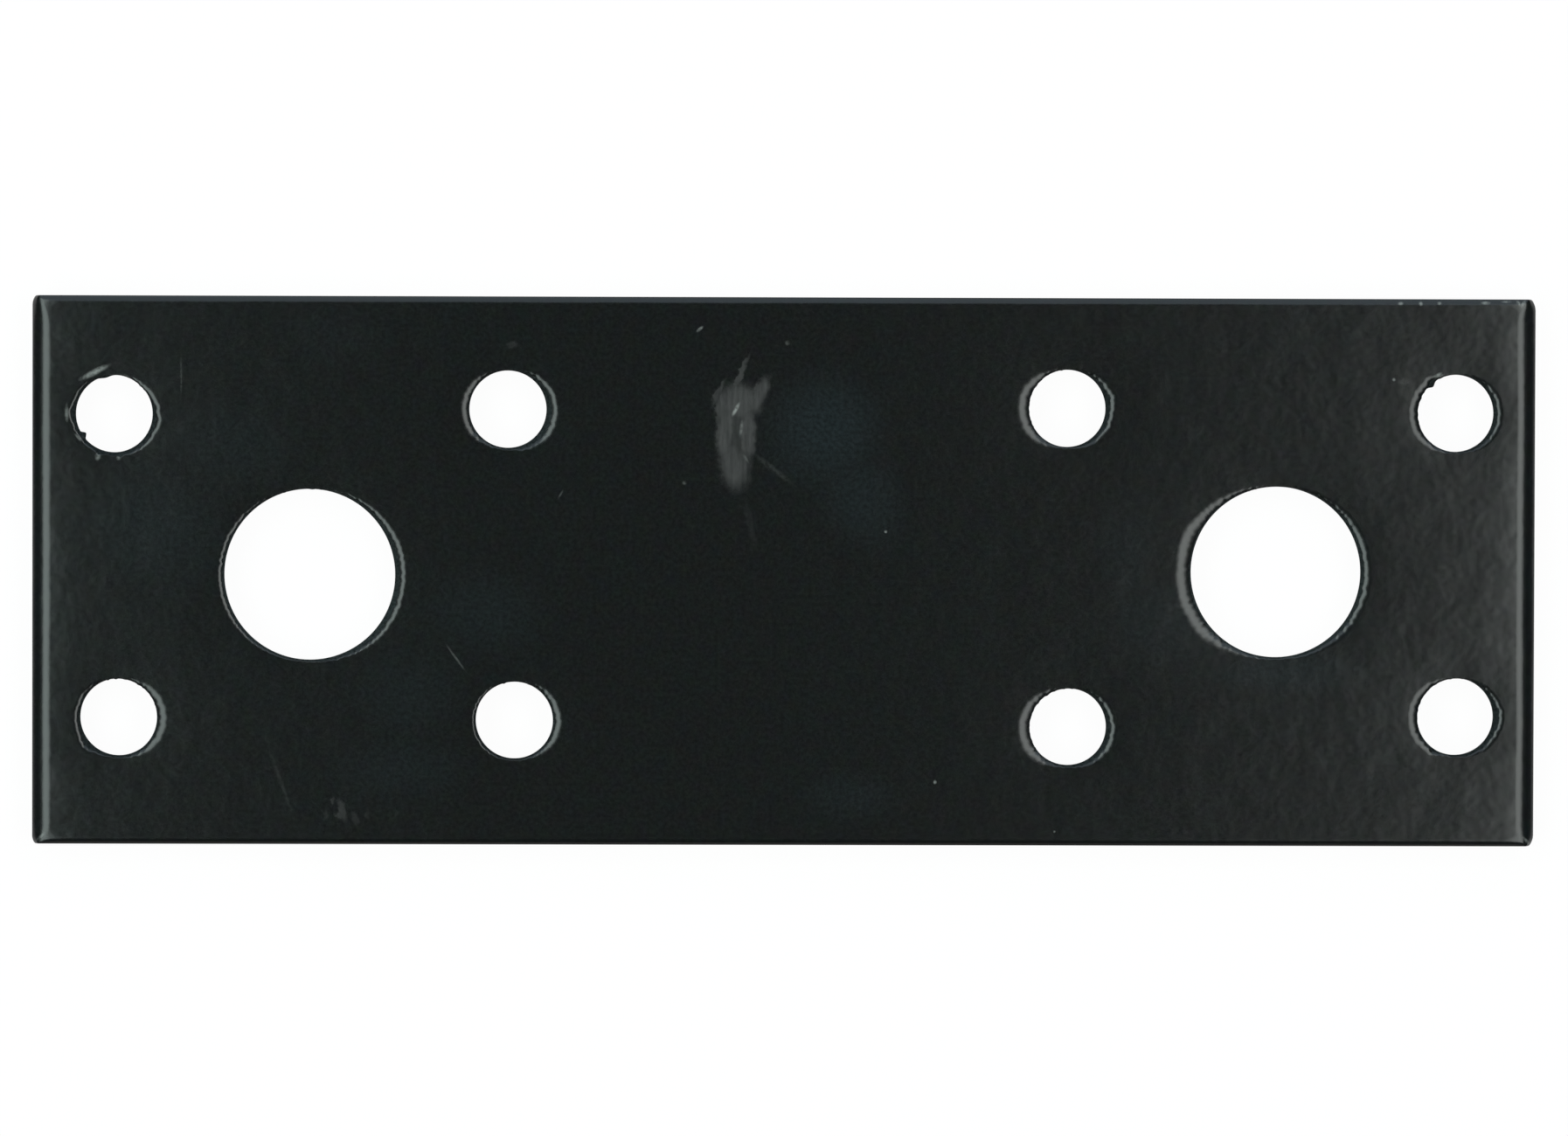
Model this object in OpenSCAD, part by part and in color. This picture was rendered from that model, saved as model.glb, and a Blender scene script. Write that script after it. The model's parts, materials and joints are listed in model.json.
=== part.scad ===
// Assembly plate: a flat strip of black steel with two bolt holes, each among four nail holes.
// It lies flat. +X runs along the plate, +Z is its top face, and the origin is the middle of its underside.
// The holes are punched first and the blank is cut out after, so on the top face
// the plate's rim is rolled over, while each hole breaks out in a small torn funnel.

/* [Blank] */
// Length of the plate
plate_length = 96; // [80:1:160]
// Width of the plate
plate_width = 35; // [28:0.5:60]
// Thickness of the sheet
plate_thickness = 2.5; // [2:0.1:4]
// Radius of each corner, seen from above: upper left, upper right, lower left, lower right
corner_radii = [0.6, 0.7, 0.5, 0.7]; // [0.3:0.1:3]

/* [Cut edge] */
// How far the roll-over reaches in from each end of the top face
end_roll_width = 1.2; // [0.8:0.1:2]
// How far that roll-over drops at the end
end_roll_drop = 0.6; // [0.2:0.1:0.8]
// How far the roll-over reaches in from each long side of the top face
side_roll_width = 0.5; // [0.4:0.1:1.2]
// How far that roll-over drops at the side
side_roll_drop = 0.25; // [0.1:0.05:0.35]
// Height of the torn band above the underside
torn_height = 0.9; // [0.4:0.1:1.1]
// How far the torn band leans in at the underside
torn_lean = 0.1; // [0.05:0.05:0.3]

/* [Nail holes] */
// Diameter of the nail holes
nail_hole_d = 5; // [3:0.1:7]
// Distance from each end of the plate to its outer nail holes
end_margin = 5; // [4.5:0.1:8]
// Distance from each long side of the plate to its row of nail holes
side_margin = 7.5; // [5:0.1:9]
// Distance along the plate between the outer and inner nail holes of one end
nail_pitch = 25; // [20:0.5:36]

/* [Bolt holes] */
// Diameter of the bolt holes
bolt_hole_d = 11; // [8:0.1:13]
// How far each bolt hole sits towards its end from the middle of its nail holes
bolt_offset = 0.5; // [0:0.1:2]

/* [Punched rim] */
// Depth of the torn funnel below the top face
funnel_depth = 1.2; // [0.4:0.1:1.4]
// How far the funnel leans out from the hole's wall up to the top face
funnel_flare = 0.15; // [0.1:0.05:0.5]
// Radius that softens the funnel's mouth at the top face
mouth_round = 0.5; // [0.1:0.05:0.6]
// Radius of the roll-over round the hole on the underside
entry_roll = 0.4; // [0.1:0.05:0.5]

/* [Punching drift] */
// Drift along the plate of the upper row's nail holes, left to right
upper_drift_x = [0.15, 0.3, 0.1, 0]; // [-1:0.05:1]
// Drift across the plate of the upper row's nail holes, left to right
upper_drift_y = [-0.05, 0.3, 0.45, 0.2]; // [-1:0.05:1]
// Drift along the plate of the lower row's nail holes, left to right
lower_drift_x = [0.45, 0.75, 0.2, 0.05]; // [-1:0.05:1]
// Drift across the plate of the lower row's nail holes, left to right
lower_drift_y = [0.55, 0.4, 0.05, 0.75]; // [-1:0.05:1]
// Drift along the plate of the bolt holes, left to right
bolt_drift_x = [0.65, 0.5]; // [-1:0.05:1]
// Drift across the plate of the bolt holes, left to right
bolt_drift_y = [-0.3, 0]; // [-1:0.05:1]

/* [Hidden] */
$fn = 96;

paint_black = [0.105, 0.12, 0.117];

// How far a cutting shape runs past the face that it cuts
overrun = 1;

// Nail columns from the left end to the right, and the height of the upper row over the middle
outer_column = plate_length / 2 - end_margin;
inner_column = outer_column - nail_pitch;
nail_columns = [-outer_column, -inner_column, inner_column, outer_column];
nail_row = plate_width / 2 - side_margin;

// Bolt holes from left to right
bolt_column = (outer_column + inner_column) / 2 + bolt_offset;
bolt_columns = [-bolt_column, bolt_column];

// Direction into the steel at the funnel's wall, and how far past the funnel its rounding meets the top face
funnel_slant = norm([funnel_flare, funnel_depth]);
funnel_normal = [funnel_depth, -funnel_flare] / funnel_slant;
mouth_reach = mouth_round * (funnel_slant - funnel_flare) / funnel_depth;

// What the roll-over takes off one upper corner of the section, with the corner at the origin.
// Its arc is level at the top face and has dropped by the given drop at the rim.
module roll_cut(width, drop) {
    radius = (width ^ 2 + drop ^ 2) / (2 * drop);
    difference() {
        translate([-width, -drop])
            square([width + overrun, drop + overrun]);
        translate([-width, -radius])
            circle(radius);
    }
}

// Upright section through the cut blank: rolled rim above, plain wall, torn band below
module blank_section(span, roll_width, roll_drop) {
    half = span / 2;
    difference() {
        polygon([
            [torn_lean - half, 0], [half - torn_lean, 0],
            [half, torn_height], [half, plate_thickness],
            [-half, plate_thickness], [-half, torn_height]
        ]);
        for (side = [0, 1])
            mirror([side, 0])
                translate([half, plate_thickness])
                    roll_cut(roll_width, roll_drop);
    }
}

// The section of a span, run through a depth along Y that is centred on the origin
module section_bar(span, depth, roll_width, roll_drop) {
    rotate([90, 0, 0])
        linear_extrude(depth, center = true)
            blank_section(span, roll_width, roll_drop);
}

// What the rounding takes off an upper right corner of the plan, with the corner at the origin
module corner_cut(radius) {
    translate([-radius, -radius])
        difference() {
            square(radius + overrun);
            circle(radius);
        }
}

// Plan of the plate with its rounded corners
module plan() {
    corners = [[-1, 1], [1, 1], [-1, -1], [1, -1]];
    difference() {
        square([plate_length, plate_width], center = true);
        for (i = [0 : 3])
            translate([corners[i].x * plate_length, corners[i].y * plate_width] / 2)
                mirror([1 - corners[i].x, 0])
                    mirror([0, 1 - corners[i].y])
                        corner_cut(corner_radii[i]);
    }
}

// The cut blank, with the rolled rims of its ends and sides mitred at the corners
module blank() {
    intersection() {
        section_bar(plate_length, plate_width + overrun, end_roll_width, end_roll_drop);
        rotate([0, 0, 90])
            section_bar(plate_width, plate_length + overrun, side_roll_width, side_roll_drop);
        linear_extrude(plate_thickness)
            plan();
    }
}

// What the punch takes out, as a half section from the hole's axis outwards.
// Both round edges are circles that the straight lines touch, one below the wall and one above the funnel.
module hole_section(radius) {
    top = plate_thickness;
    entry = [radius + entry_roll, entry_roll];
    mouth = [radius + funnel_flare + mouth_reach, top - mouth_round];
    difference() {
        polygon([
            [0, -overrun], [entry.x, -overrun], [entry.x, 0],
            [radius, entry.y], [radius, top - funnel_depth],
            mouth - mouth_round * funnel_normal, [mouth.x, top],
            [mouth.x, top + overrun], [0, top + overrun]
        ]);
        translate(entry)
            circle(entry_roll);
        translate(mouth)
            circle(mouth_round);
    }
}

module punched_hole(diameter) {
    rotate_extrude()
        hole_section(diameter / 2);
}

// A row of holes at the given columns, each off its place by its own drift
module hole_row(diameter, columns, row, drift_x, drift_y) {
    for (i = [0 : len(columns) - 1])
        translate([columns[i] + drift_x[i], row + drift_y[i], 0])
            punched_hole(diameter);
}

module plate() {
    color(paint_black)
        difference() {
            blank();
            hole_row(nail_hole_d, nail_columns, nail_row, upper_drift_x, upper_drift_y);
            hole_row(nail_hole_d, nail_columns, -nail_row, lower_drift_x, lower_drift_y);
            hole_row(bolt_hole_d, bolt_columns, 0, bolt_drift_x, bolt_drift_y);
        }
}

plate();
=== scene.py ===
import json
import math

import bmesh
import bpy
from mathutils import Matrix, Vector, noise


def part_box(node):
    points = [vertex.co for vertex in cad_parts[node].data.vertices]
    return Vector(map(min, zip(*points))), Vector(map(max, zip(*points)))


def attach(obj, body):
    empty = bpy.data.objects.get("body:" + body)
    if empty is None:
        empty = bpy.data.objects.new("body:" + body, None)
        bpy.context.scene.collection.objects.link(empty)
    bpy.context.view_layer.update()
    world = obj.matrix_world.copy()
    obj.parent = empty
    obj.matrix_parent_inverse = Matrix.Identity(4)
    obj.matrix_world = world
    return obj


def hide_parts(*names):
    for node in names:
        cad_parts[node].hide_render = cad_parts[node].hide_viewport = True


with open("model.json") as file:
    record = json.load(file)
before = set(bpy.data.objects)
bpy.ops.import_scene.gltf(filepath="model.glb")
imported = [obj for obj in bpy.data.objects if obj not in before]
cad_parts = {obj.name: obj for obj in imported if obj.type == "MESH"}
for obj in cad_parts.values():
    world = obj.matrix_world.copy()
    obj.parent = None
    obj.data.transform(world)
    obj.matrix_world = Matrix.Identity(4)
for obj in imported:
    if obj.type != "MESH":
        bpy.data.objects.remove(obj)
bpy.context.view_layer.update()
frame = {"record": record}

MM = 0.001

# The plate's finishes, by their place in its list of materials
SATIN, TORN = 0, 1

# The plate is shaped in millimetres and scaled to metres at the end.
# It lies flat with its punched-through side up, and its size and holes come from the frame.
half_length, half_width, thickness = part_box("plate")[1] / MM
holes = {m["name"]: m for m in frame["record"]["mounts"] if m["kind"] == "bore"}

# Cut edge: the rim of the top face rolls over and creases down to a plain wall,
# and below that the wall is torn and leans in. Tilts are in degrees
END_ROLL_WIDTH = 1.2
END_CREASE_RADIUS = 0.08
SIDE_ROLL_WIDTH = 0.5
SIDE_CREASE_RADIUS = 0.05
ROLL_END_TILT = 43
TORN_HEIGHT = 0.9
TORN_LEAN = 0.1
LOWER_EDGE_RADIUS = 0.1

# How finely the cut edge is divided, down its section and round the plate
ROLL_STEPS = 12
CREASE_STEPS = 4
WALL_STEPS = 2
TORN_STEPS = 4
LOWER_EDGE_STEPS = 3
LEVEL_DIGITS = 3
CORNER_STEPS = 6
LONG_SIDE_CUTS = 191
SHORT_SIDE_CUTS = 69

# Least radius that softens the mitre between the roll-overs of an end and a side
SOFT_MITRE = 0.5

# Each corner, by its side along and across the plate: its radius, and the length of the end
# over which the roll-over narrows towards it, by the share of its width that follows
CORNERS = {(-1, 1): (0.6, 2.3), (1, 1): (0.7, 1.4), (1, -1): (0.7, 1.2), (-1, -1): (0.5, 1.2)}
CORNER_NARROWING = 0.5

# Wear of the cut edge: how far the roll-over wanders, as a share of its distance from the wall,
# and how deep the torn band is pitted, each over its own length.
# Outwards is away from a core that lies this far inside the wall
ROLL_WANDER = 0.04
ROLL_WANDER_LENGTH = 6
TORN_PITS = 0.06
TORN_PIT_LENGTH = 0.7
CORE_INSET = 2.4

# Punched hole: a drawn-down mouth, a tight lip, a torn funnel, the throat, and a rolled edge below.
# The paint narrows the throat by its film
PAINT_FILM = 0.03
MOUTH_WIDTH = 0.65
MOUTH_TILT = 25
LIP_RADIUS = 0.14
FUNNEL_TILT = 88.2
FUNNEL_DEPTH = 1.2
ENTRY_RADIUS = 0.4

# How finely a hole is divided, round its throat and down its section.
# The lip's first steps are still smooth, and the rest is torn
FACET_LENGTH = 0.08
MOUTH_STEPS = 8
LIP_STEPS = 8
SMOOTH_LIP_STEPS = 2
FUNNEL_STEPS = 3
THROAT_STEPS = 2
ENTRY_STEPS = 4

# Each hole's mouth: its width at the left and at the right of the hole,
# and how far the funnel below it gapes, along and across the plate.
# Towards the long sides a mouth narrows to a share of that width, and it is as shallow as it is narrow
MOUTH_PINCH = 0.12
MOUTHS = {
    "nail_hole_upper_1": (0.24, 0.36, 0.15, -0.17),
    "nail_hole_upper_2": (0.52, 0.42, 0.32, -0.06),
    "nail_hole_upper_3": (0.72, 0.38, 0.10, -0.02),
    "nail_hole_upper_4": (0.54, 0.36, -0.05, -0.02),
    "nail_hole_lower_1": (0.30, 0.58, 0.07, -0.04),
    "nail_hole_lower_2": (0.16, 0.50, 0.06, 0.02),
    "nail_hole_lower_3": (0.74, 0.40, 0.13, -0.02),
    "nail_hole_lower_4": (0.56, 0.34, -0.05, 0.00),
    "bolt_hole_left": (0.32, 0.40, 0.30, -0.04),
    "bolt_hole_right": (0.92, 0.46, -0.09, 0.00),
}

# How far a mouth's width wanders, as a share of it, and how ragged the lip is around its depth,
# each over its own length
MOUTH_WANDER = 0.2
MOUTH_WANDER_LENGTH = 2.5
LIP_RAG = 0.08
LIP_RAG_LENGTH = 0.25
LIP_DEPTH = 0.12
LIP_SPREAD = 0.25

# Bites out of the lip, or tongues into it: hole, direction in degrees, reach outwards, half width
BITES = [
    ("nail_hole_upper_1", -11, 0.10, 0.50),
    ("nail_hole_upper_1", 180, 0.16, 0.40),
    ("nail_hole_upper_1", 250, 0.16, 0.14),
    ("nail_hole_upper_1", 262, -0.06, 0.12),
    ("nail_hole_upper_1", 280, 0.10, 0.12),
    ("nail_hole_upper_3", 15, 0.10, 0.50),
    ("nail_hole_lower_1", 222, 0.20, 0.60),
    ("nail_hole_lower_4", 2, 0.18, 0.90),
    ("nail_hole_lower_4", 235, 0.12, 0.40),
    ("nail_hole_upper_4", 128, 0.12, 0.35),
]

# Burrs left in the throats: hole, direction in degrees, reach inwards, half width
BURRS = [
    ("nail_hole_upper_1", 215, 0.31, 0.24),
    ("nail_hole_upper_1", 103, 0.13, 0.42),
    ("nail_hole_upper_4", 131, 0.22, 0.26),
    ("nail_hole_upper_4", 17, 0.08, 0.30),
]
BURR_HEIGHT = 0.45

# The sheet leans down a little towards its ends, its sides and every hole,
# by these degrees at their edge, which fade over a length
END_LEAN = 2.0
SIDE_LEAN = 1.0
HOLE_LEAN = 1.0
LEAN_LENGTH = 1.6

# Marks on the top face: middle along and across the plate, half width, half length,
# degrees that the upper end leans to the right, strength.
# First the places where the black has a bluish cast
HAZES = [
    (2.5, 9.1, 3.4, 3.2, 0, 0.9),
    (5.0, 4.6, 2.4, 3.0, -25, 0.6),
    (-35.6, 8.0, 3.8, 2.6, 0, 0.3),
    (-40.0, 2.9, 3.8, 3.6, 0, 0.4),
    (-28.8, 15.0, 3.2, 1.8, 0, 0.2),
    (-19.1, -2.6, 3.4, 2.5, 0, 0.4),
    (-23.8, -8.0, 3.0, 2.6, 0, 0.35),
    (-24.4, -12.7, 4.0, 1.8, 0, 0.35),
    (23.8, -3.2, 3.2, 2.6, 0, 0.35),
    (32.1, -6.4, 4.4, 1.2, 0, 0.5),
    (21.8, 1.3, 1.8, 3.2, 0, 0.3),
    (4.2, -14.4, 2.8, 1.4, 0, 0.4),
]

# Then the rubbed paint, with the scuff near the middle first
RUBS = [
    (-2.95, 10.80, 1.52, 1.25, 0, 0.71),
    (-3.10, 8.90, 1.20, 2.20, 0, 0.42),
    (-3.80, 8.85, 0.62, 2.00, 4, 0.73),
    (-4.05, 10.35, 0.42, 1.30, 2, 0.66),
    (-2.40, 8.85, 0.58, 2.00, 0, 0.70),
    (-3.22, 6.80, 1.00, 1.70, -6, 0.67),
    (-1.72, 11.20, 0.50, 1.45, 25, 0.69),
    (-2.90, 12.40, 0.18, 1.60, 22, 0.55),
    (-4.25, 11.45, 0.20, 1.00, 26, 0.50),
    (-2.21, 3.00, 0.25, 1.60, -12, 0.09),
    (-28.18, -15.35, 0.24, 0.76, -14, 0.34),
    (-28.33, -15.70, 0.46, 0.26, 0, 0.28),
    (-28.76, -14.75, 0.14, 0.28, -10, 0.30),
    (-27.39, -15.85, 0.24, 0.50, -20, 0.16),
    (-26.60, -15.57, 0.14, 0.30, 0, 0.14),
    (-24.70, -15.60, 0.12, 0.30, 30, 0.10),
    (-29.24, -15.63, 0.15, 0.40, 0, 0.16),
    (-17.40, 14.40, 0.35, 0.25, 0, 0.25),
    (39.55, 12.20, 0.45, 0.18, 0, 0.25),
]

# Last the fine scratches, nicks and specks, and pale painted highlights that stand for glints on the burrs
# of the top left and top right holes and on the mitres of the top right and both lower corners
NICKS_AND_PAINTED_GLINTS = [
    (-3.14, 10.33, 0.11, 0.42, 28, 0.8),
    (-2.80, 9.10, 0.10, 0.45, 8, 0.3),
    (-2.49, 7.20, 0.09, 0.28, -32, 0.18),
    (-0.75, 6.53, 0.18, 1.40, -52, 0.06),
    (-32.07, -13.65, 0.12, 2.15, -20, 0.04),
    # Painted highlights: glints on the burred lip of the top left hole
    (-44.00, 12.60, 0.17, 0.87, 63, 0.8),
    (-45.78, 9.98, 0.12, 0.50, 0, 0.45),
    (-45.05, 8.42, 0.08, 0.28, -40, 0.4),
    (-43.80, 7.22, 0.16, 0.22, 10, 0.5),
    (-42.50, 7.12, 0.13, 0.12, 0, 0.4),
    # Painted highlight: a glint on the burred lip of the top right hole
    (41.68, 12.62, 0.12, 0.28, 60, 0.6),
    # Then scratches and specks
    (-20.96, -5.58, 0.07, 0.90, -36, 0.20),
    (-38.50, 12.40, 0.06, 1.20, 0, 0.10),
    (-14.30, 4.90, 0.06, 0.30, 30, 0.15),
    (-5.45, 15.45, 0.09, 0.22, 50, 0.7),
    (0.14, 14.59, 0.14, 0.14, 0, 0.2),
    (-6.41, 5.64, 0.12, 0.12, 0, 0.2),
    (6.46, 2.56, 0.09, 0.09, 0, 0.8),
    (9.65, -13.45, 0.09, 0.11, 0, 0.8),
    (38.90, 12.35, 0.10, 0.10, 0, 0.5),
    (17.30, -16.60, 0.07, 0.07, 0, 0.4),
    # Pale marks along the top edge's roll-over by the right corner
    (39.30, 17.22, 0.16, 0.10, 0, 0.6),
    (40.60, 17.20, 0.12, 0.12, 0, 0.6),
    (41.80, 17.24, 0.12, 0.10, 0, 0.5),
    (44.75, 17.26, 0.26, 0.10, 0, 0.6),
    (46.10, 17.34, 0.30, 0.07, 0, 0.4),
    # Painted highlight: a V on the mitre of the top right corner
    (46.85, 17.26, 0.10, 0.18, -35, 0.5),
    (47.15, 17.20, 0.10, 0.24, 30, 0.6),
    # Painted highlights: streaks on the mitres of the two lower corners
    (-47.43, -17.05, 0.09, 0.34, 45, 0.4),
    (47.55, -17.15, 0.09, 0.34, -45, 0.4),
]

# How each kind of mark fades out, from its edge to its core, as shares of its size
HAZE_FADE = (1.5, 0.2)
RUB_FADE = (1.25, 0.45)
NICK_AND_GLINT_FADE = (1.5, 0.2)

# Sizes of the paint's patterns: the clouds of its two blacks, its coloured blotches, and its grain,
# which is finer on the real paint and is drawn coarse enough to show
CLOUD_LENGTH = 4.0
BLOTCH_LENGTH = 0.9
GRAIN_LENGTH = 0.25

# How far the blotches stray from the paint's own colour, and the grain's shade and roughness
BLOTCH_SPREAD = 1.3
GRAIN_SHADE = (0.65, 1.35)
SATIN_ROUGHNESS = (0.23, 0.25)

# Rubs: how far their edges wander, over what length, the size and strength of the streaks in them,
# and how much rougher they are. Nicks and the painted glint highlights are broken up by the grain
RUB_WANDER = 0.3
RUB_WANDER_LENGTH = 0.5
STREAK_SIZE = (0.18, 1.6, 1)
STREAK_STRENGTH = (0.6, 1.0)
RUB_DULLING = 0.18
NICK_AND_GLINT_BREAKS = (0.4, 1.0)

# The paint's waviness: length, rise and levels of finer detail
WAVES = [(0.5, 0.005, 0.0), (2.5, 0.035, 2.0)]

# Torn steel below the paint: the size of its tears, which run down the wall, their depth and roughness
TEAR_SIZE = (0.15, 0.15, 0.9)
TEAR_DEPTH = 0.05
TORN_ROUGHNESS = (0.8, 0.6)

# White card below the plate: half its size in metres, and the share of plain white in its look
TABLE_REACH = 3
TABLE_GLOW = 0.96

# Lamps: name, place, what it points at, level width, leaning height, radiance where 1 is white, colour
LAMPS = [
    ("right_softbox", (216, -10, 387), (48, 0, 0), 520, 194, 3.9, "#F9FFFC"),
    ("left_softbox", (-242, -10, 372), (-48, 0, 0), 520, 217, 4.3, "#EEFFFB"),
    ("far_panel", (0, 490, 345), (0, 0, 0), 900, 690, 1.2, "#DEF1FF"),
    ("near_panel", (0, -700, 150), (0, 0, 0), 900, 330, 0.35, "#FFF2EA"),
]

# The room: its colour, and how bright it is at eye level and overhead
ROOM_COLOUR = "#808890"
ROOM_LEVEL = 0.45
ROOM_OVERHEAD = 0.08

# Camera: its place, lens and sensor in millimetres, its turn in degrees, and its range in metres
CAMERA_PLACE = (-9.34, 13.42, 558.4)
CAMERA_TURN = (-1.363, -0.955, 0.165)
CAMERA_LENS = 200
CAMERA_SENSOR = 36
CAMERA_RANGE = 20


def bend(path, start, end, radius, steps):
    """Carries a section on round an arc. Tilts are degrees below level, so 90 heads straight down."""
    run, drop = path[-1]
    first = math.radians(start)
    for step in range(1, steps + 1):
        tilt = math.radians(start + (end - start) * step / steps)
        path.append((
            run + radius * (math.sin(tilt) - math.sin(first)),
            drop + radius * (math.cos(first) - math.cos(tilt)),
        ))


def straight(path, run, drop, steps):
    """Carries a section on along a line."""
    first_run, first_drop = path[-1]
    for step in range(1, steps + 1):
        share = step / steps
        path.append((first_run + (run - first_run) * share, first_drop + (drop - first_drop) * share))


def rim_section(roll_width, crease_radius):
    """The cut edge from the top face outwards to the wall, at a run of 0, and down to the underside."""
    end = math.sin(math.radians(ROLL_END_TILT))
    roll_radius = (roll_width - crease_radius * (1 - end)) / end
    lean = math.degrees(math.atan2(TORN_LEAN, TORN_HEIGHT))
    path = [(-roll_width, 0)]
    bend(path, 0, ROLL_END_TILT, roll_radius, ROLL_STEPS)
    bend(path, ROLL_END_TILT, 90, crease_radius, CREASE_STEPS)
    straight(path, 0, thickness - TORN_HEIGHT, WALL_STEPS)
    straight(path, -TORN_LEAN, thickness - LOWER_EDGE_RADIUS, TORN_STEPS)
    bend(path, 90 + lean, 180, LOWER_EDGE_RADIUS, LOWER_EDGE_STEPS)
    path[-1] = (path[-1][0], thickness)
    return path


def inset_at(path, drop):
    """How far inside the wall a section of the cut edge is at a drop."""
    for (run, level), (next_run, next_level) in zip(path, path[1:]):
        if drop <= next_level:
            return -run - (next_run - run) * (drop - level) / (next_level - level)
    return -path[-1][0]


def hole_section():
    """A punched edge from the top face inwards and down to the underside."""
    path = [(0, 0)]
    bend(path, 0, MOUTH_TILT, MOUTH_WIDTH / math.sin(math.radians(MOUTH_TILT)), MOUTH_STEPS)
    bend(path, MOUTH_TILT, FUNNEL_TILT, LIP_RADIUS, LIP_STEPS)
    run, drop = path[-1]
    reach = run + (FUNNEL_DEPTH - drop) / math.tan(math.radians(FUNNEL_TILT))
    straight(path, reach, FUNNEL_DEPTH, FUNNEL_STEPS)
    straight(path, reach, thickness - ENTRY_RADIUS, THROAT_STEPS)
    bend(path, 90, 180, ENTRY_RADIUS, ENTRY_STEPS)
    return path


# The punched edge, how far in its throat and its lip's foot are, and the depth below which it is torn
section = hole_section()
throat_run = max(run for run, drop in section if drop <= FUNNEL_DEPTH)
lip_run = section[MOUTH_STEPS + LIP_STEPS][0]
torn_from = section[MOUTH_STEPS + SMOOTH_LIP_STEPS][1]


def rim_loop(bm, end_inset, side_inset, drop):
    """One level of the cut edge: a rectangle of edges with rounded corners, cut along its sides."""
    known = set(bm.edges)
    x, y, z = half_length - end_inset, half_width - side_inset, thickness - drop
    corners = [bm.verts.new((x * along, y * across, z)) for along, across in CORNERS]
    for pair in zip(corners, corners[1:] + corners[:1]):
        bm.edges.new(pair)
    for corner, (radius, _) in zip(corners, CORNERS.values()):
        bmesh.ops.bevel(
            bm, geom=[corner], offset=max(radius - min(end_inset, side_inset), SOFT_MITRE),
            offset_type="OFFSET", segments=CORNER_STEPS, profile=0.5, affect="VERTICES", material=-1,
        )
    spans = ((half_width, half_length, SHORT_SIDE_CUTS), (half_length, math.inf, LONG_SIDE_CUTS))
    for least, most, cuts in spans:
        sides = [e for e in bm.edges if e not in known and least < e.calc_length() < most]
        bmesh.ops.subdivide_edges(bm, edges=sides, cuts=cuts)
    return [e for e in bm.edges if e not in known]


def wear_rim(vert):
    """Moves a point of the cut edge: the roll-over narrows and wanders, and the torn band is pitted."""
    core_x, core_y = half_length - CORE_INSET, half_width - CORE_INSET
    core = Vector((max(-core_x, min(core_x, vert.co.x)), max(-core_y, min(core_y, vert.co.y))))
    outwards = (vert.co.xy - core).normalized()
    along, across = math.copysign(1, vert.co.x), math.copysign(1, vert.co.y)
    end_inset, side_inset = half_length - abs(vert.co.x), half_width - abs(vert.co.y)
    if vert.co.z > TORN_HEIGHT:
        wander = noise.noise(vert.co.xy.to_3d() / ROLL_WANDER_LENGTH)
        vert.co.xy += outwards * ROLL_WANDER * wander * min(end_inset, side_inset)
        near_corner = max(0, 1 - side_inset / CORNERS[along, across][1])
        if end_inset <= END_ROLL_WIDTH:
            vert.co.x += along * end_inset * CORNER_NARROWING * near_corner ** 2
    elif 0 < vert.co.z < TORN_HEIGHT:
        pits = abs(noise.noise(vert.co / TORN_PIT_LENGTH))
        vert.co.xy -= outwards * TORN_PITS * pits


def build_rim(bm):
    """The cut edge, bridged level by level, so that its roll-overs are mitred at the corners."""
    end = rim_section(END_ROLL_WIDTH, END_CREASE_RADIUS)
    side = rim_section(SIDE_ROLL_WIDTH, SIDE_CREASE_RADIUS)
    previous = None
    for level in sorted({round(drop, LEVEL_DIGITS) for _, drop in end + side}):
        loop = rim_loop(bm, inset_at(end, level), inset_at(side, level), level)
        if previous:
            bmesh.ops.bridge_loops(bm, edges=previous + loop)
        previous = loop
    for vert in bm.verts:
        wear_rim(vert)
    for face in bm.faces:
        face.material_index = TORN if face.calc_center_median().z < TORN_HEIGHT else SATIN


def bulge(spots, name, direction, throat):
    """The reach of a hole's bites or burrs in a direction. Each falls off to its sides along the throat."""
    reach = 0
    for hole, angle, most, half in spots:
        if hole == name:
            towards = Vector((math.cos(math.radians(angle)), math.sin(math.radians(angle))))
            reach += most * math.exp(-((direction - towards).length * throat / half) ** 2)
    return reach


def mouth_share(name, direction, on_throat):
    """How wide a hole's mouth is in a direction, as a share of the section's own width."""
    left, right, *_ = MOUTHS[name]
    width = left + (right - left) * (1 + direction.x) / 2
    width *= MOUTH_PINCH + (1 - MOUTH_PINCH) * (1 - direction.y ** 4)
    width *= 1 + MOUTH_WANDER * noise.noise(on_throat / MOUTH_WANDER_LENGTH)
    return width / MOUTH_WIDTH


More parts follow.
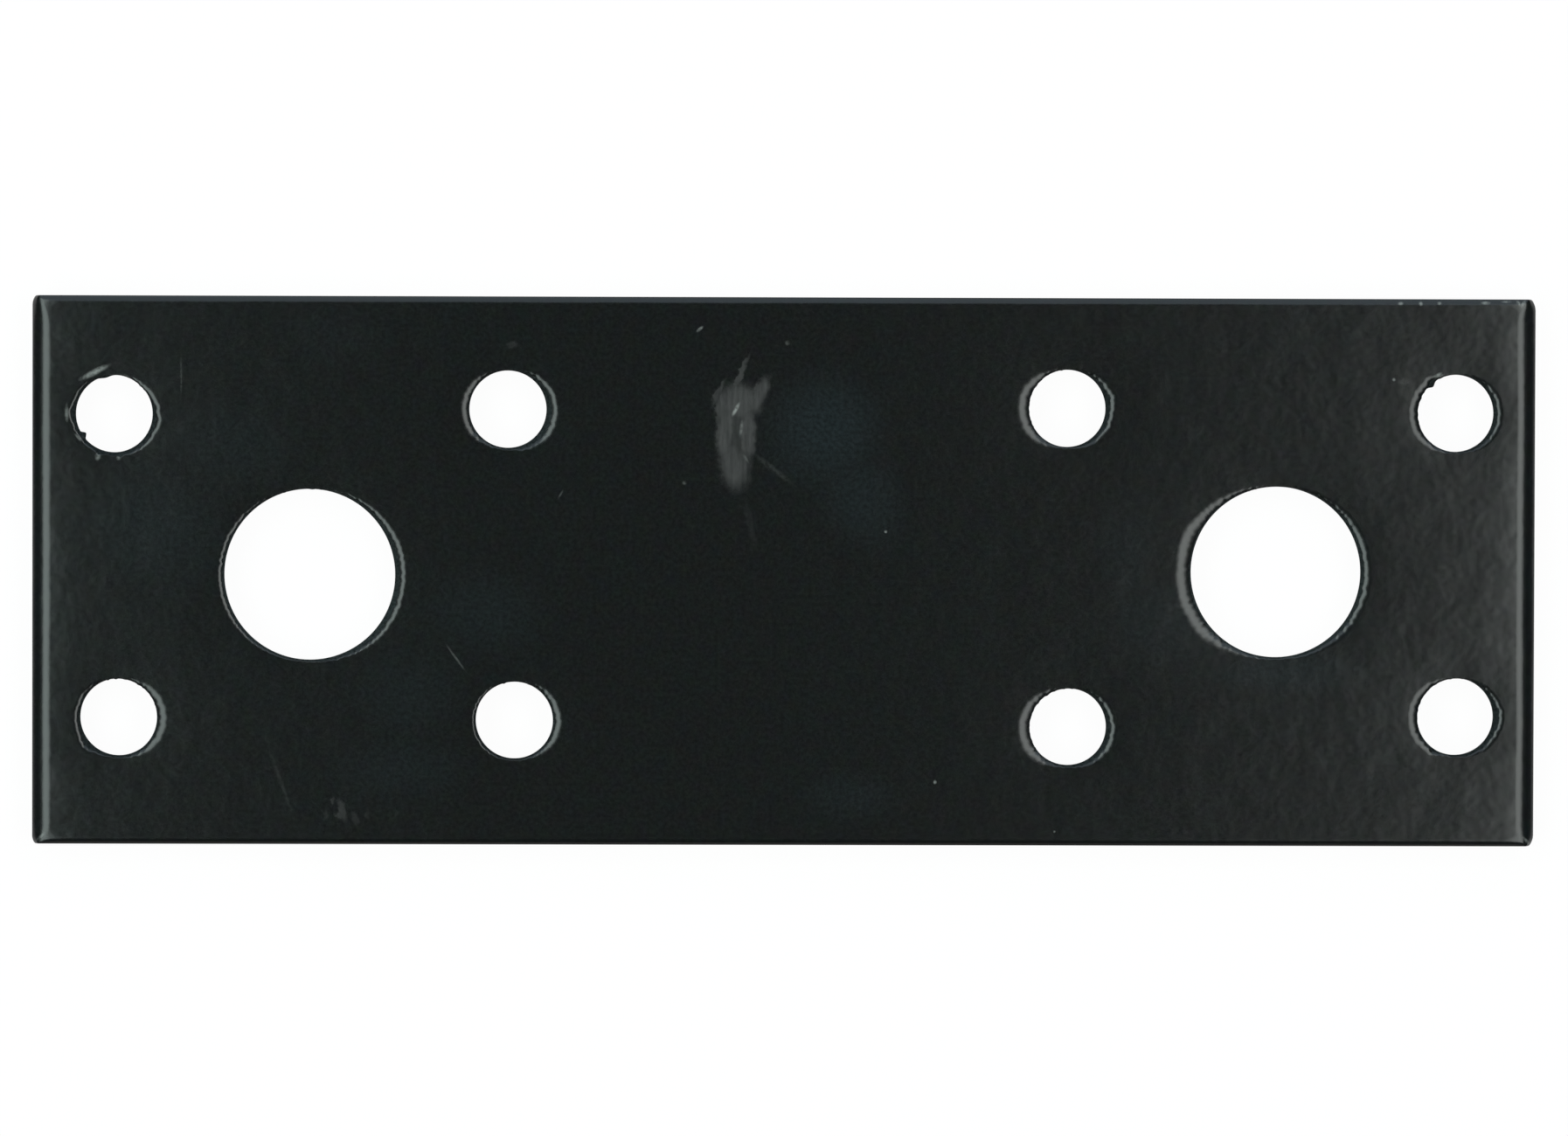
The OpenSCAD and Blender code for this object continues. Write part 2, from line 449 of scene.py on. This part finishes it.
def tear(vert, name, centre, throat):
    """Moves a point of a hole's wall: sizes the mouth, opens the funnel, rags the lip and adds the burrs."""
    out = vert.co.xy - centre
    direction = out.normalized()
    on_throat = (centre + direction * throat).to_3d()
    depth = thickness - vert.co.z
    if depth < FUNNEL_DEPTH:
        share = mouth_share(name, direction, on_throat)
        on_mouth = max(0, out.length - throat - throat_run + lip_run)
        gape = Vector(MOUTHS[name][2:])
        opening = max(0, gape.dot(direction)) + bulge(BITES, name, direction, throat)
        risen = min(1, (FUNNEL_DEPTH - depth) / (FUNNEL_DEPTH - LIP_DEPTH))
        rag = LIP_RAG * noise.noise(on_throat / LIP_RAG_LENGTH)
        near_lip = math.exp(-((depth - LIP_DEPTH) / LIP_SPREAD) ** 2)
        vert.co.xy += direction * (on_mouth * (share - 1) + opening * risen + rag * near_lip)
        vert.co.z = thickness - depth * (share + (1 - share) * depth / FUNNEL_DEPTH)
    above_throat = (depth - FUNNEL_DEPTH) / BURR_HEIGHT
    burr = bulge(BURRS, name, direction, throat)
    vert.co.xy -= direction * burr * math.exp(-above_throat ** 2)


def punched_hole(name):
    """One hole's wall, spun round its axis and then torn, as a mesh."""
    hole = holes[name]
    centre = Vector(hole["pos_m"]).xy / MM
    throat = hole["dims"]["r_mm"] - PAINT_FILM
    start = centre.x + throat + throat_run
    bm = bmesh.new()
    points = [bm.verts.new((start - run, centre.y, thickness - drop)) for run, drop in section]
    lines = [bm.edges.new(pair) for pair in zip(points, points[1:])]
    bmesh.ops.spin(
        bm, geom=points + lines, cent=centre.to_3d(), axis=(0, 0, 1), angle=math.tau,
        steps=round(math.tau * throat / FACET_LENGTH), use_merge=True,
    )
    for face in bm.faces:
        depth = thickness - face.calc_center_median().z
        face.material_index = TORN if torn_from < depth < thickness - ENTRY_RADIUS else SATIN
    for vert in bm.verts:
        tear(vert, name, centre, throat)
    mesh = bpy.data.meshes.new(name)
    bm.to_mesh(mesh)
    bm.free()
    return mesh


def cover(bm, level):
    """The flat face at one level, with the holes left open."""
    at_level = {v for v in bm.verts if round(v.co.z - level, LEVEL_DIGITS) == 0}
    rims = [e for e in bm.edges if e.is_boundary and at_level.issuperset(e.verts)]
    filled = bmesh.ops.triangle_fill(bm, use_beauty=True, use_dissolve=False, normal=(0, 0, 1), edges=rims)
    for face in filled["geom"]:
        if isinstance(face, bmesh.types.BMFace):
            face.smooth = False


def build_plate():
    bm = bmesh.new()
    build_rim(bm)
    for name in holes:
        wall = punched_hole(name)
        bm.from_mesh(wall)
        bpy.data.meshes.remove(wall)
    for face in bm.faces:
        face.smooth = True
    cover(bm, thickness)
    cover(bm, 0)
    bmesh.ops.recalc_face_normals(bm, faces=bm.faces)
    bmesh.ops.scale(bm, verts=bm.verts, vec=(MM, MM, MM))
    mesh = bpy.data.meshes.new("plate_painted")
    bm.to_mesh(mesh)
    bm.free()
    plate = bpy.data.objects.new("plate_painted", mesh)
    bpy.context.scene.collection.objects.link(plate)
    return plate


def linear(code):
    """An sRGB hex colour as linear RGBA."""
    parts = [int(code[i:i + 2], 16) / 255 for i in (1, 3, 5)]
    return [c / 12.92 if c <= 0.04045 else ((c + 0.055) / 1.055) ** 2.4 for c in parts] + [1]


def add(tree, kind, inputs=None, **settings):
    """Adds a node with its settings, and links or sets its inputs."""
    made = tree.nodes.new(kind)
    for name, value in settings.items():
        setattr(made, name, value)
    for socket, value in (inputs or {}).items():
        if isinstance(value, bpy.types.NodeSocket):
            tree.links.new(value, made.inputs[socket])
        else:
            made.inputs[socket].default_value = value
    return made


def new_material(name):
    material = bpy.data.materials.new(name)
    material.use_nodes = True
    material.node_tree.nodes.clear()
    return material


def millimetres(tree):
    """The place on the plate in millimetres."""
    place = add(tree, "ShaderNodeTexCoord").outputs["Object"]
    return add(tree, "ShaderNodeVectorMath", {0: place, "Scale": 1 / MM}, operation="SCALE").outputs[0]


def face_lean(tree, place):
    """How far the face has sunk at a place, in millimetres: more towards the rim and each hole."""
    flat = add(tree, "ShaderNodeVectorMath", {0: place, 1: (1, 1, 0)}, operation="MULTIPLY").outputs[0]
    off_middle = add(tree, "ShaderNodeVectorMath", {0: flat}, operation="ABSOLUTE").outputs[0]
    along, across, _ = add(tree, "ShaderNodeSeparateXYZ", {0: off_middle}).outputs
    edges = [
        (along, half_length - END_ROLL_WIDTH, END_LEAN),
        (across, half_width - SIDE_ROLL_WIDTH, SIDE_LEAN),
    ]
    for hole in holes.values():
        x, y, _ = Vector(hole["pos_m"]) / MM
        away = add(tree, "ShaderNodeVectorMath", {0: flat, 1: (x, y, 0)}, operation="DISTANCE")
        edges.append((hole["dims"]["r_mm"] + throat_run, away.outputs["Value"], HOLE_LEAN))
    height = 0.0
    for near, far, lean in edges:
        past = add(tree, "ShaderNodeMath", {0: near, 1: far}, operation="SUBTRACT").outputs[0]
        share = add(tree, "ShaderNodeMath", {0: past, 1: LEAN_LENGTH}, operation="DIVIDE").outputs[0]
        sunk = add(tree, "ShaderNodeMath", {0: share}, operation="EXPONENT").outputs[0]
        depth = LEAN_LENGTH * math.tan(math.radians(lean))
        height = add(tree, "ShaderNodeMath", {
            0: sunk, 1: -depth, 2: height,
        }, operation="MULTIPLY_ADD").outputs[0]
    return height


def marks(tree, place, spots, fade):
    """How strong the strongest of some oval marks is at a place."""
    edge, core = fade
    strongest = 0.0
    for x, y, wide, long, lean, strength in spots:
        inside = add(tree, "ShaderNodeMapping", {
            "Vector": place, "Location": (x, y, thickness), "Rotation": (0, 0, -math.radians(lean)),
            "Scale": (wide, long, 1),
        }, vector_type="TEXTURE").outputs[0]
        away = add(tree, "ShaderNodeVectorMath", {0: inside}, operation="LENGTH").outputs["Value"]
        mark = add(tree, "ShaderNodeMapRange", {
            "Value": away, "From Min": edge, "From Max": core, "To Min": 0, "To Max": strength,
        }, interpolation_type="SMOOTHSTEP").outputs[0]
        strongest = add(tree, "ShaderNodeMath", {0: mark, 1: strongest}, operation="MAXIMUM").outputs[0]
    return strongest


def satin_black_paint():
    # Black paint dipped over rolled steel sheet. It dries satin and a little green, with soft clouds
    # of blue, a fine grain and a slight waviness. Rubbed places go grey and dull, and nicks go pale,
    # as do the painted highlights that stand for glints on burrs and corner mitres.
    material = new_material("satin_black_paint")
    tree = material.node_tree
    place = millimetres(tree)

    clouds = add(tree, "ShaderNodeTexNoise", {
        "Vector": place, "Scale": 1 / CLOUD_LENGTH, "Detail": 3.0,
    }).outputs[0]
    clouds = add(tree, "ShaderNodeMapRange", {
        "Value": clouds, "From Min": 0.35, "From Max": 0.65,
    }).outputs[0]
    body = add(tree, "ShaderNodeMix", {
        0: clouds, 6: linear("#070908"), 7: linear("#060A09"),
    }, data_type="RGBA").outputs[2]
    blotches = add(tree, "ShaderNodeTexNoise", {
        "Vector": place, "Scale": 1 / BLOTCH_LENGTH, "Detail": 2.0,
    }).outputs[1]
    blotches = add(tree, "ShaderNodeVectorMath", {
        0: blotches, 1: [BLOTCH_SPREAD] * 3, 2: [1 - BLOTCH_SPREAD / 2] * 3,
    }, operation="MULTIPLY_ADD").outputs[0]
    body = add(tree, "ShaderNodeVectorMath", {0: body, 1: blotches}, operation="MULTIPLY").outputs[0]
    haze = marks(tree, place, HAZES, HAZE_FADE)
    body = add(tree, "ShaderNodeMix", {
        0: haze, 6: body, 7: linear("#11191B"),
    }, data_type="RGBA").outputs[2]
    grain = add(tree, "ShaderNodeTexNoise", {
        "Vector": place, "Scale": 1 / GRAIN_LENGTH, "Detail": 1.0,
    }).outputs[0]
    shade = add(tree, "ShaderNodeMapRange", {
        "Value": grain, "From Min": 0.3, "From Max": 0.7,
        "To Min": GRAIN_SHADE[0], "To Max": GRAIN_SHADE[1],
    }).outputs[0]
    body = add(tree, "ShaderNodeVectorMath", {0: body, "Scale": shade}, operation="SCALE").outputs[0]

    drift = add(tree, "ShaderNodeTexNoise", {
        "Vector": place, "Scale": 1 / RUB_WANDER_LENGTH, "Detail": 3.0,
    }).outputs[1]
    drift = add(tree, "ShaderNodeVectorMath", {
        0: drift, 1: (2 * RUB_WANDER, 2 * RUB_WANDER, 0), 2: (-RUB_WANDER, -RUB_WANDER, 0),
    }, operation="MULTIPLY_ADD").outputs[0]
    ragged = add(tree, "ShaderNodeVectorMath", {0: place, 1: drift}, operation="ADD").outputs[0]
    worn = marks(tree, ragged, RUBS, RUB_FADE)
    streaks = add(tree, "ShaderNodeMapping", {
        "Vector": place, "Scale": STREAK_SIZE,
    }, vector_type="TEXTURE").outputs[0]
    streaks = add(tree, "ShaderNodeTexNoise", {
        "Vector": streaks, "Scale": 1.0, "Detail": 3.0,
    }).outputs[0]
    streaks = add(tree, "ShaderNodeMapRange", {
        "Value": streaks, "From Min": 0.3, "From Max": 0.65,
        "To Min": STREAK_STRENGTH[0], "To Max": STREAK_STRENGTH[1],
    }).outputs[0]
    worn = add(tree, "ShaderNodeMath", {0: worn, 1: streaks}, operation="MULTIPLY").outputs[0]
    colour = add(tree, "ShaderNodeMix", {
        0: worn, 6: body, 7: linear("#3B3A39"),
    }, data_type="RGBA").outputs[2]
    # Pale marks: nicks and specks, and painted highlights that stand for glints on burrs and corner mitres
    breaks = add(tree, "ShaderNodeMapRange", {
        "Value": grain, "From Min": 0.35, "From Max": 0.55,
        "To Min": NICK_AND_GLINT_BREAKS[0], "To Max": NICK_AND_GLINT_BREAKS[1],
    }).outputs[0]
    nicks_and_glints = marks(tree, place, NICKS_AND_PAINTED_GLINTS, NICK_AND_GLINT_FADE)
    nicks_and_glints = add(tree, "ShaderNodeMath", {0: nicks_and_glints, 1: breaks}, operation="MULTIPLY").outputs[0]
    colour = add(tree, "ShaderNodeMix", {
        0: nicks_and_glints, 6: colour, 7: linear("#858783"),
    }, data_type="RGBA").outputs[2]

    satin = add(tree, "ShaderNodeMapRange", {
        "Value": grain, "From Min": 0.3, "From Max": 0.7,
        "To Min": SATIN_ROUGHNESS[0], "To Max": SATIN_ROUGHNESS[1],
    }).outputs[0]
    roughness = add(tree, "ShaderNodeMath", {
        0: worn, 1: RUB_DULLING, 2: satin,
    }, operation="MULTIPLY_ADD").outputs[0]
    height = face_lean(tree, place)
    for length, rise, detail in WAVES:
        waves = add(tree, "ShaderNodeTexNoise", {
            "Vector": place, "Scale": 1 / length, "Detail": detail,
        }).outputs[0]
        height = add(tree, "ShaderNodeMath", {
            0: waves, 1: rise, 2: height,
        }, operation="MULTIPLY_ADD").outputs[0]
    bump = add(tree, "ShaderNodeBump", {"Height": height, "Distance": MM}).outputs[0]
    shader = add(tree, "ShaderNodeBsdfPrincipled", {
        "Base Color": colour, "Roughness": roughness, "Normal": bump,
    })
    add(tree, "ShaderNodeOutputMaterial", {"Surface": shader.outputs[0]})
    return material


def torn_black_paint():
    # The same paint over sheared and torn steel, which it only partly fills.
    # It stays dull and nearly black, with tears that run down the wall. It has no gloss, and its grey,
    # paler than the satin paint, is partly the dull torn paint and partly painted light that stands for the
    # shine the walls catch.
    material = new_material("black_paint_on_torn_steel")
    tree = material.node_tree
    place = millimetres(tree)
    tears = add(tree, "ShaderNodeMapping", {
        "Vector": place, "Scale": TEAR_SIZE,
    }, vector_type="TEXTURE").outputs[0]
    tears = add(tree, "ShaderNodeTexNoise", {"Vector": tears, "Scale": 1.0, "Detail": 3.0}).outputs[0]
    share = add(tree, "ShaderNodeMapRange", {
        "Value": tears, "From Min": 0.3, "From Max": 0.7,
    }).outputs[0]
    # These greys are partly painted light, standing for the shine that the torn walls catch
    colour = add(tree, "ShaderNodeMix", {
        0: share, 6: linear("#1E2222"), 7: linear("#363B3B"),
    }, data_type="RGBA").outputs[2]
    roughness = add(tree, "ShaderNodeMapRange", {
        "Value": share, "To Min": TORN_ROUGHNESS[0], "To Max": TORN_ROUGHNESS[1],
    }).outputs[0]
    height = add(tree, "ShaderNodeMath", {0: tears, 1: TEAR_DEPTH}, operation="MULTIPLY").outputs[0]
    bump = add(tree, "ShaderNodeBump", {"Height": height, "Distance": MM}).outputs[0]
    shader = add(tree, "ShaderNodeBsdfPrincipled", {
        "Base Color": colour, "Roughness": roughness, "Specular IOR Level": 0.0, "Normal": bump,
    })
    add(tree, "ShaderNodeOutputMaterial", {"Surface": shader.outputs[0]})
    return material


def white_card():
    # Matt white card. It looks plain white to the camera and in reflections,
    # keeps a little of the plate's shadow, and lights the plate from below as card does.
    material = new_material("white_table")
    tree = material.node_tree
    rays = add(tree, "ShaderNodeLightPath").outputs
    seen = rays["Is Camera Ray"]
    for kind in ("Is Glossy Ray", "Is Transmission Ray"):
        seen = add(tree, "ShaderNodeMath", {0: seen, 1: rays[kind]}, operation="MAXIMUM").outputs[0]
    share = add(tree, "ShaderNodeMath", {0: seen, 1: TABLE_GLOW}, operation="MULTIPLY").outputs[0]
    card = add(tree, "ShaderNodeBsdfDiffuse", {"Color": linear("#F4F4F4")}).outputs[0]
    glow = add(tree, "ShaderNodeEmission", {"Color": linear("#FFFFFF"), "Strength": 1.0}).outputs[0]
    mix = add(tree, "ShaderNodeMixShader", {0: share, 1: card, 2: glow})
    add(tree, "ShaderNodeOutputMaterial", {"Surface": mix.outputs[0]})
    return material


def build_floor():
    bm = bmesh.new()
    bmesh.ops.create_grid(bm, x_segments=1, y_segments=1, size=TABLE_REACH)
    mesh = bpy.data.meshes.new("table")
    bm.to_mesh(mesh)
    bm.free()
    floor = bpy.data.objects.new("table", mesh)
    bpy.context.scene.collection.objects.link(floor)
    mesh.materials.append(white_card())


def softbox(name, place, aim, width, height, radiance, colour):
    """A rectangular lamp that faces its aim, with the power that its size and radiance come to."""
    lamp = bpy.data.lights.new(name, "AREA")
    lamp.shape = "RECTANGLE"
    lamp.size = width * MM
    lamp.size_y = height * MM
    lamp.energy = radiance * math.pi * lamp.size * lamp.size_y
    lamp.color = linear(colour)[:3]
    holder = bpy.data.objects.new(name, lamp)
    holder.location = Vector(place) * MM
    holder.rotation_euler = (holder.location - Vector(aim) * MM).to_track_quat("Z", "Y").to_euler()
    bpy.context.scene.collection.objects.link(holder)


def build_light():
    for lamp in LAMPS:
        softbox(*lamp)
    world = bpy.data.worlds.new("studio")
    world.use_nodes = True
    tree = world.node_tree
    towards = add(tree, "ShaderNodeTexCoord").outputs["Generated"]
    upwards = add(tree, "ShaderNodeSeparateXYZ", {0: towards}).outputs["Z"]
    strength = add(tree, "ShaderNodeMapRange", {
        "Value": upwards, "To Min": ROOM_LEVEL, "To Max": ROOM_OVERHEAD,
    }).outputs[0]
    tree.nodes["Background"].inputs["Color"].default_value = linear(ROOM_COLOUR)
    tree.links.new(strength, tree.nodes["Background"].inputs["Strength"])
    bpy.context.scene.world = world


def build_camera():
    """Nearly straight down, from far off, as the photograph was taken."""
    camera = bpy.data.cameras.new("camera")
    camera.lens = CAMERA_LENS
    camera.sensor_width = CAMERA_SENSOR
    camera.clip_end = CAMERA_RANGE
    holder = bpy.data.objects.new("camera", camera)
    holder.location = Vector(CAMERA_PLACE) * MM
    holder.rotation_euler = [math.radians(turn) for turn in CAMERA_TURN]
    bpy.context.scene.collection.objects.link(holder)
    bpy.context.scene.camera = holder


plate = build_plate()
for finish in (satin_black_paint(), torn_black_paint()):
    plate.data.materials.append(finish)
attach(plate, "root")
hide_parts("plate")

build_floor()
build_light()
build_camera()
bpy.context.scene.view_settings.view_transform = "Standard"
